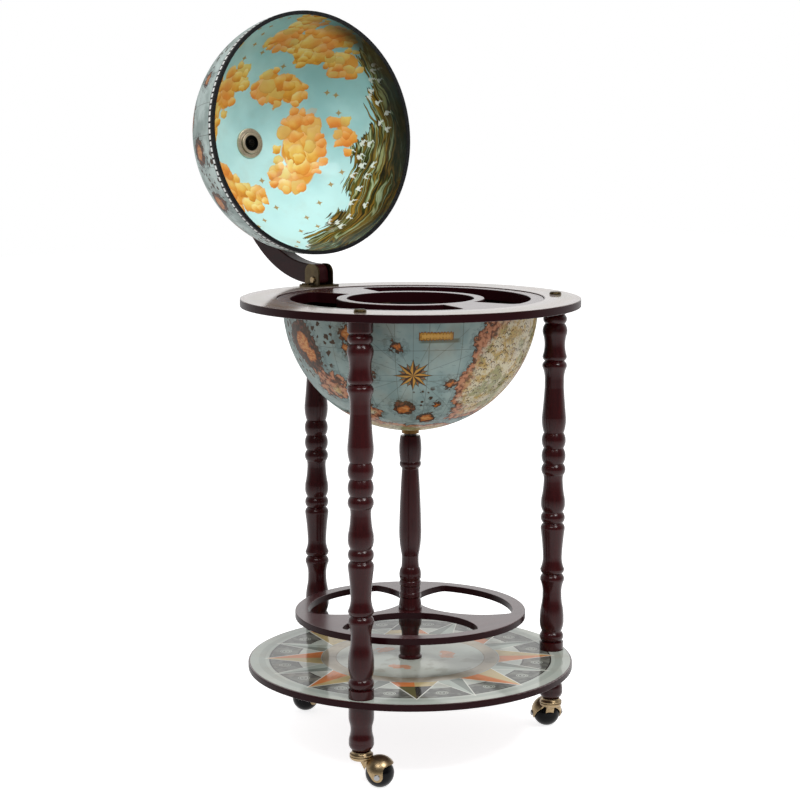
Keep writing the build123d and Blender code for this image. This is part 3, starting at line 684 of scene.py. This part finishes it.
def sky_picture(surface, from_pole, round_pole):
    """Banks of golden cloud and small stars in a pale sky, over a green swell. The sky is painted darker towards
    the top and near the right rim, partly as painted shade.
    """
    turn = round_pole.maths("RADIANS")
    flat = surface.vector(from_pole * turn.maths("COSINE"), from_pole * turn.sine())
    drift = surface.noise(flat, 0.035, detail=3)
    ripple = surface.noise(flat, 0.16, detail=3)
    grain = surface.noise(flat, 0.3, detail=3)
    height = flat.vectors("DOT_PRODUCT", PICTURE_UP, output=1)
    # The sky is painted deeper towards the top of the open lid: partly the sky's own deeper blue, partly painted
    # shade.
    top_shade = (height / 150 + drift).over(0.62, 0.7)
    picture = surface.paint(colour(196, 238, 238), colour(150, 200, 202), top_shade)
    picture = small_stars(surface, picture, flat)
    picture = swell(surface, picture, flat, from_pole, round_pole, drift, ripple)
    bent = flat.vectors("ADD", surface.vector(ripple * 5, drift * 8 - ripple * 5))
    warmth = drift.over(0.5, 0.16)
    picture = surface.paint(picture, colour(226, 158, 66), inside_banks(bent).over(1.0, 1.0))
    for layer in PUFF_LAYERS:
        picture = puffs(surface, picture, bent, layer, warmth, grain)
    # Near the rim on the lid's right side, most towards the top, the picture is painted near black: partly dark
    # print, partly painted shade.
    side = flat.vectors("DOT_PRODUCT", PICTURE_RIGHT, output=1)
    rim_shade = from_pole.over(77, 14) * side.over(-20, 60) * (0.94 - height.under(0, 60) * 0.4)
    return surface.paint(picture, colour(30, 33, 25), rim_shade)


def scale_band(surface, picture, from_pole, round_pole):
    """Black and white dashes round the lid, just above its rim."""
    picture = surface.paint(picture, colour(16, 16, 18), from_pole.over(BAND_EDGE, 0.15))
    dashes = (round_pole / BAND_PERIOD).repeat(1.0).between(0.16, 0.84, 0.06)
    dashes = dashes * from_pole.between(*BAND_DASHES, 0.15)
    return surface.paint(picture, colour(240, 243, 240), dashes)


# Lands, islands and patches of islets, each as its angle from the pole, its angle round it, and its
# radius, all in degrees. An island's last number is the radius of its ochre middle.
BOWL_LANDS = (
    (108, -72, 25), (128, -76, 22), (100, -50, 22), (140, -84, 12), (172, -140, 22), (160, 170, 16),
    (127, -175, 9), (140, -158, 7), (112, 20, 24), (104, 62, 20), (132, 40, 14), (118, 110, 16),
)
BOWL_ISLANDS = (
    (104, 174, 10.5, 4.5), (110, 179, 8, 3.5), (98, -157, 4.2, 2.6), (105, -158, 3.2, 2.0),
    (116, -149, 2.6, 1.2), (122, -108, 3.2, 1.6), (138, -133, 4.4, 2.4), (146, -116, 5.0, 3.0),
    (128, 150, 5, 3), (122, -20, 5, 3), (135, -112, 2.8, 1.4), (103, -134, 2.6, 1.4),
)
BOWL_ISLETS = ((98, 174, 24), (112, 150, 14), (130, -120, 7))
LID_LANDS = (
    (58, -170, 8), (46, -150, 8), (30, 160, 14), (52, 120, 18), (66, 92, 16), (40, 60, 22), (64, 30, 20),
    (50, -20, 16), (70, -50, 14), (56, -90, 14), (16, -60, 10),
)
LID_ISLANDS = (
    (74, 172, 7, 3.5), (78, -152, 5, 3), (75, 146, 6, 3.5),
    (66, -124, 5, 2.5), (78, -10, 5, 3), (24, -110, 5, 3),
)
LID_ISLETS = ((80, 160, 14), (72, -140, 12), (76, 118, 12), (78, -20, 14))


def lid_print(name):
    """Map outside the lid and sky inside it."""
    paper = Surface(name)
    where = in_closed_lid(paper)
    ray = where.direction()
    from_pole, round_pole = polar_on_sphere(paper, ray)
    outside = globe_map(paper, ray, LID_LANDS, LID_ISLANDS, LID_ISLETS, (PALE_SEA, SEA))[0]
    outside = scale_band(paper, outside, from_pole, round_pole)
    inside = sky_picture(paper, from_pole, round_pole)
    picture = paper.paint(inside, outside, where.length().over(print_middle, 0.2 * MM))
    lacquered_print(paper, picture, where, fade=0.12, depth=1.18, calm=0.85)
    return paper.material


def bowl_print(name):
    """Map outside the bowl, and near-black inside it: painted shade for the globe's dark hollow."""
    paper = Surface(name)
    where = paper.place().offset(bowl_centre)
    ray = where.direction()
    washes = (SEA, DEEP_SEA)
    outside, chart, fine = globe_map(paper, ray, BOWL_LANDS, BOWL_ISLANDS, BOWL_ISLETS, washes)
    outside = compass_rose(paper, outside, chart)
    outside = cartouche(paper, outside, chart, fine)
    # Painted shade: the bowl's inside is painted near-black, for the shade in the globe's hollow.
    inside_shade = paper.paint(colour(20, 15, 15), colour(34, 26, 25), paper.noise(where, 300, detail=3))
    picture = paper.paint(inside_shade, outside, where.length().over(print_middle, 0.2 * MM))
    lacquered_print(paper, picture, where, depth=1.18, calm=0.85)
    return paper.material


# Bands of the horizon ring's print, in mm from its outer edge
RING_LINE_STEP = 10.0
RING_LINES = (2, 45)
RING_SCALE = (3.5, 6.5)
RING_PANELS = (11, 31)
RING_DIVIDERS = (10, 40)
RING_TICKS = (34, 37)
VINE_MIDDLE = 21
# Angles in degrees over which a pair of its tinted panels, a divider and a leaf of the vine repeat,
# and the length in mm of one degree along the vine
PANEL_TURN = 60.0
DIVIDER_TURN = 30.0
LEAF_TURN = 10.0
VINE_DEGREE = 3.6


def ring_print(name):
    """Printed horizon ring: a degree scale, twelve tinted panels and a ticked inner border."""
    paper = Surface(name)
    where = paper.place()
    radius, angle = polar(paper, where)
    from_edge = radius.maths("MULTIPLY_ADD", -1 / MM, ring_top.x / MM)
    second = angle.fold(PANEL_TURN).over(PANEL_TURN / 4, 0.3)
    tint = paper.paint(colour(154, 139, 129), colour(140, 134, 122), second)
    ink = colour(92, 72, 58)
    picture = paper.paint(colour(158, 147, 143), tint, from_edge.between(*RING_PANELS, 0.4))
    lines = from_edge.fold(RING_LINE_STEP).under(0.22, 0.2) * from_edge.between(*RING_LINES, 1)
    picture = paper.paint(picture, ink, lines * 0.6)
    dashes = (angle / 2.0).repeat(1.0).under(0.5, 0.06) * from_edge.between(*RING_SCALE, 0.3)
    picture = paper.paint(picture, ink, dashes * 0.6)
    ticks = angle.fold(1.0).under(0.12, 0.08) * from_edge.between(*RING_TICKS, 0.3)
    dividers = angle.fold(DIVIDER_TURN).under(0.12, 0.1) * from_edge.between(*RING_DIVIDERS, 0.3)
    ticks = ticks.largest(dividers)
    picture = paper.paint(picture, ink, ticks * 0.6)
    wave = (angle * math.radians(360 / LEAF_TURN)).sine()
    from_vine = from_edge - VINE_MIDDLE
    vine = (from_vine - wave * 4.5).absolute().under(0.6, 0.4)
    turn = (angle.repeat(LEAF_TURN) - LEAF_TURN / 2) * VINE_DEGREE
    leaves = paper.vector(turn.absolute() - 9, from_vine + wave * 3).length().under(3.2, 0.6)
    buds = paper.vector(turn, from_vine).length().between(2.0, 3.2, 0.5)
    scroll = vine.largest(leaves).largest(buds)
    picture = paper.paint(picture, colour(118, 90, 66), scroll * 0.7)
    worn = paper.noise(where, 26, detail=4).over(0.52, 0.2)
    picture = paper.paint(picture, colour(136, 112, 92), worn * 0.35)
    lacquered_print(paper, picture, where, fade=0.15)
    return paper.material


# Shelf's printed star: its turn and the angle between its points in degrees, and its sizes in mm
POINT_TURN = 144.2
POINT_STEP = 45.0
POINT_TIP = 194.0
POINT_ROOT = 124.0
POINT_HALF_WIDTH = 28.0
SLIM_POINT_SHARE = 0.62
# Angles between which the broad points are dark, and the turn of the three leaves in the middle
DARK_TURNS = ((-148, -102), (-13, 78))
LEAVES_TURN = 97
# Bands of the shelf's print, as radii in mm
POINT_BAND = (120, 204)
BORDER_BAND = (196, 205)
PANEL_RIM = (152, 191)
PANEL_BAND = (154, 189)
MIDDLE_RING = (100, 119)
MIDDLE_RADIUS = 121
BLOOM_RADIUS = 172
# Length in mm of one degree along the blooms
BLOOM_DEGREE = 2.98


def shelf_print(name):
    """Printed compass star: eight broad points, eight slim ones between, and dark panels round them."""
    paper = Surface(name)
    where = paper.place()
    radius, angle = polar(paper, where)
    radius = radius * (1 / MM)
    across = angle - POINT_TURN
    side = (across + POINT_STEP / 2).repeat(POINT_STEP) - POINT_STEP / 2

    broad = star_points(radius, side, POINT_TIP, POINT_ROOT, POINT_HALF_WIDTH)
    slim_side = across.repeat(POINT_STEP) - POINT_STEP / 2
    slim = star_points(radius, slim_side, POINT_TIP, POINT_ROOT, POINT_HALF_WIDTH * SLIM_POINT_SHARE)
    cloud = paper.noise(where, 9, detail=3).over(0.5, 0.3)
    paper_tone = paper.paint(colour(188, 192, 182), colour(174, 182, 174), cloud)
    band = radius.between(*POINT_BAND, 0.8)
    picture = paper.paint(paper_tone, colour(150, 158, 150), radius.between(*BORDER_BAND, 0.6) * 0.5)

    wear = paper.noise(where, 90, detail=4).over(0.5, 0.2)
    picture = paper.paint(picture, colour(46, 46, 44), radius.between(*PANEL_RIM, 0.8))
    panel_tone = paper.paint(colour(84, 85, 80), colour(116, 118, 111), wear)
    picture = paper.paint(picture, panel_tone, radius.between(*PANEL_BAND, 0.8))
    bloom = (angle - (POINT_TURN + POINT_STEP / 4)).fold(POINT_STEP / 2) * BLOOM_DEGREE
    bloom_distance = paper.vector(bloom, radius - BLOOM_RADIUS).length()
    rings = bloom_distance.between(4.2, 5.6, 0.5).largest(bloom_distance.under(1.8, 0.6))
    petals = bloom_distance.between(7.0, 8.0, 0.5)
    picture = paper.paint(picture, colour(186, 192, 180), rings.largest(petals) * 0.85)

    picture = paper.paint(picture, colour(222, 224, 214), slim.over(-1.4, 0.8) * band)
    slim_tone = paper.paint(colour(168, 178, 168), colour(120, 128, 120), slim_side.over(0, 0.2))
    picture = paper.paint(picture, slim_tone, slim.over(0, 0.8) * band)
    picture = paper.paint(picture, colour(226, 228, 218), broad.over(-1.6, 0.8) * band)
    warm = paper.paint(colour(206, 122, 66), colour(190, 170, 120), side.over(0, 0.2))
    heart = paper.paint(colour(92, 88, 52), colour(44, 42, 38), side.over(0, 0.2))
    dark = angle.between(*DARK_TURNS[0], 0.2).largest(angle.between(*DARK_TURNS[1], 0.2))
    warm = paper.paint(warm, heart, dark * radius.over(140, 2))
    picture = paper.paint(picture, warm, broad.over(0, 0.8) * band)

    picture = paper.paint(picture, paper_tone, radius.under(MIDDLE_RADIUS, 0.8))
    picture = paper.paint(picture, colour(172, 156, 132), radius.between(*MIDDLE_RING, 2) * 0.75)
    rims = (radius - 110).absolute().between(9.0, 10.0, 0.5)
    picture = paper.paint(picture, colour(120, 108, 90), rims * 0.6)
    turn = (angle - LEAVES_TURN).fold(120.0).maths("RADIANS")
    motif = paper.vector(radius * turn.maths("COSINE") - 50, radius * turn.sine() * 0.6).length()
    leaf = motif + paper.noise(where, 90, detail=4) * 26
    picture = paper.paint(picture, colour(204, 124, 74), leaf.under(23, 3) * 0.7)
    stain = paper.noise(where, 40, detail=4).over(0.56, 0.12)
    picture = paper.paint(picture, colour(120, 112, 92), stain * radius.under(150, 20) * 0.3)
    lacquered_print(paper, picture, where, fade=0.2)
    return paper.material


# The CAD nodes and their finishes ---------------------------------------------------------------

def dress(names, finish):
    """Gives a finish to CAD nodes."""
    for name in names:
        for slot in frame["nodes"][name].material_slots:
            slot.material = finish


def by_slot(slot):
    """Names of the nodes that take one of the record's material slots."""
    return [part["node"] for part in frame["record"]["subparts"] if part["material_slot"] == slot]


def dress_everything():
    """Gives every CAD node its finish: first the plain ones by slot, then those that stand out."""
    dress(by_slot("mahogany"), mahogany("mahogany_upright")[0].material)
    boards = mahogany_board("mahogany_board").material
    dress(["horizon_ring", "bar_tray", "bottle_ring", "shelf"], boards)
    arm_look = {"along": (1, 0.1, 0.3), "stain": (44, 12, 14), "deep": (28, 9, 11), "shine": 0.35}
    arm_wood = mahogany("mahogany_arm", **arm_look)[0].material
    dress(["lid_arm", "lid_pole_spacer"], arm_wood)
    dress(["ring_print"], ring_print("ring_print"))
    dress(["shelf_print"], shelf_print("shelf_print"))
    dress(["globe_bowl"], bowl_print("bowl_print"))
    dress(["lid_shell"], lid_print("lid_print"))
    dress(by_slot("black_edging"), edging("black_edging"))
    dress(by_slot("brass"), antique_brass("plain_brass", bright=(112, 84, 48), dark=(82, 58, 34)))
    dress(by_slot("antique_brass"), antique_brass("antique_brass"))
    dress(["lid_pole_boss"], pole_boss_metal("pole_boss_metal"))
    dark_brass = antique_brass("dark_brass", bright=(88, 74, 48), dark=(56, 46, 30), polish=0.28)
    dress(["hinge_bracket", "hinge_screws", "ring_cap_screws"], dark_brass)
    dress(["lid_pole_bolt"], antique_brass("black_brass", bright=(40, 38, 34), dark=(22, 21, 19)))
    dress(by_slot("steel"), plated_steel("plated_steel"))
    dress(by_slot("black_rubber"), hard_rubber("hard_rubber"))


# Floor, lights and camera -----------------------------------------------------------------------

def seen_mix(tree, lit, shown):
    """Shows one shader to the camera and to reflections, and another to all other rays."""
    path = tree.nodes.new("ShaderNodeLightPath")
    seen = Field(tree, path.outputs["Is Camera Ray"])
    for kind in ("Is Glossy Ray", "Is Transmission Ray"):
        seen = seen.largest(Field(tree, path.outputs[kind]))
    mix = tree.nodes.new("ShaderNodeMixShader")
    tree.links.new(seen.socket, mix.inputs[0])
    tree.links.new(lit.outputs[0], mix.inputs[1])
    tree.links.new(shown.outputs[0], mix.inputs[2])
    return mix


def white_in_gloss(tree, place, edge, soft):
    """1, or less on the dark side of the studio as gloss shows it."""
    front = place.vectors("DOT_PRODUCT", STUDIO_FRONT, output=1).over(edge, soft)
    gloss = Field(tree, tree.nodes.new("ShaderNodeLightPath").outputs["Is Glossy Ray"])
    return 1 - front * gloss * STUDIO_DARKNESS


def make_floor():
    mesh = bpy.data.meshes.new("floor")
    corners = [(x * FLOOR_REACH, y * FLOOR_REACH, 0) for x, y in ((-1, -1), (1, -1), (1, 1), (-1, 1))]
    mesh.from_pydata(corners, [], [(0, 1, 2, 3)])
    floor = bpy.data.objects.new("floor", mesh)
    bpy.context.scene.collection.objects.link(floor)
    material = bpy.data.materials.new("floor_white")
    material.use_nodes = True
    tree = material.node_tree
    tree.nodes.clear()
    place = Field(tree, tree.nodes.new("ShaderNodeTexCoord").outputs["Object"])
    white = white_in_gloss(tree, place, 0.5, 1.2)
    diffuse = add_node(tree, "ShaderNodeBsdfDiffuse", {"Color": FLOOR_SHADE})
    glow = add_node(tree, "ShaderNodeEmission", {"Strength": white * FLOOR_GLOW})
    shown = tree.nodes.new("ShaderNodeAddShader")
    tree.links.new(diffuse.outputs[0], shown.inputs[0])
    tree.links.new(glow.outputs[0], shown.inputs[1])
    mix = seen_mix(tree, diffuse, shown)
    output = tree.nodes.new("ShaderNodeOutputMaterial")
    tree.links.new(mix.outputs[0], output.inputs[0])
    mesh.materials.append(material)


def make_world():
    """White background, lit softly. Gloss shows it too, with a dark studio on the camera's side."""
    world = bpy.data.worlds.new("studio")
    bpy.context.scene.world = world
    world.use_nodes = True
    tree = world.node_tree
    tree.nodes.clear()
    direction = Field(tree, tree.nodes.new("ShaderNodeTexCoord").outputs["Generated"])
    white = white_in_gloss(tree, direction, 0.1, 0.9)
    soft = add_node(tree, "ShaderNodeBackground", {"Color": (1, 1, 1, 1), "Strength": WORLD_GLOW})
    shown = add_node(tree, "ShaderNodeBackground", {"Color": (1, 1, 1, 1), "Strength": white})
    mix = seen_mix(tree, soft, shown)
    output = tree.nodes.new("ShaderNodeOutputWorld")
    tree.links.new(mix.outputs[0], output.inputs[0])


def add_lamp(name, place, size, power):
    """Soft lamp of some width and height that points at the target."""
    data = bpy.data.lights.new(name, "AREA")
    data.shape = "RECTANGLE"
    data.size, data.size_y = size
    data.energy = power
    lamp = bpy.data.objects.new(name, data)
    lamp.location = place
    lamp.rotation_euler = (Vector(LAMP_TARGET) - Vector(place)).to_track_quat("-Z", "Y").to_euler()
    bpy.context.scene.collection.objects.link(lamp)


def make_camera():
    data = bpy.data.cameras.new("camera")
    data.sensor_width = SENSOR
    data.lens = SENSOR * FOCAL_PIXELS / FRAME_PIXELS
    camera = bpy.data.objects.new("camera", data)
    camera.location = CAMERA_PLACE
    camera.rotation_euler = (math.radians(CAMERA_PITCH), 0, math.radians(CAMERA_HEADING))
    bpy.context.scene.collection.objects.link(camera)
    bpy.context.scene.camera = camera


dress_everything()
make_floor()
make_world()
for lamp in LAMPS:
    add_lamp(*lamp)
make_camera()
bpy.context.scene.view_settings.view_transform = "Standard"
